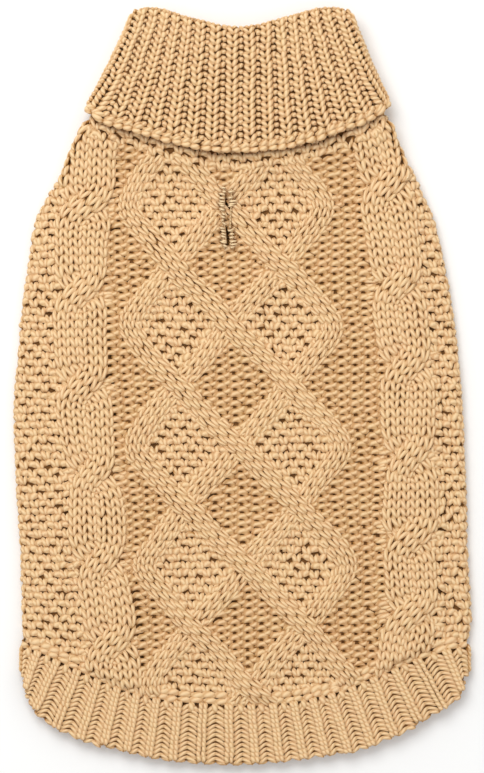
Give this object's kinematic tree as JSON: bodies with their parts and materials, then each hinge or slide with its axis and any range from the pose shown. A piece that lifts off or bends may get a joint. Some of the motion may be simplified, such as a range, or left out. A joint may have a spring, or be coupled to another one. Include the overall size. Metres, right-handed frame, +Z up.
{
  "type": "dog sweater",
  "caption": "Cable-knit dog sweater laid flat, with a turned-down ribbed collar, lattice back, rope cables and a curved ribbed hem.",
  "frame": {"origin": "middle of the sweater on the surface it lies on", "axes": "+X across the sweater to the wearer's right side as seen from above, +Y from the tail end to the neck, +Z up from the surface"},
  "size_m": [0.242, 0.4002, 0.0177],
  "materials": {
    "yarn": "soft matt camel yarn, chunky plied knit"
  },
  "bodies": {
    "root": {"back_panel": "yarn", "belly_panel": "yarn", "collar": "yarn", "hem_band": "yarn"}
  },
  "joints": []
}
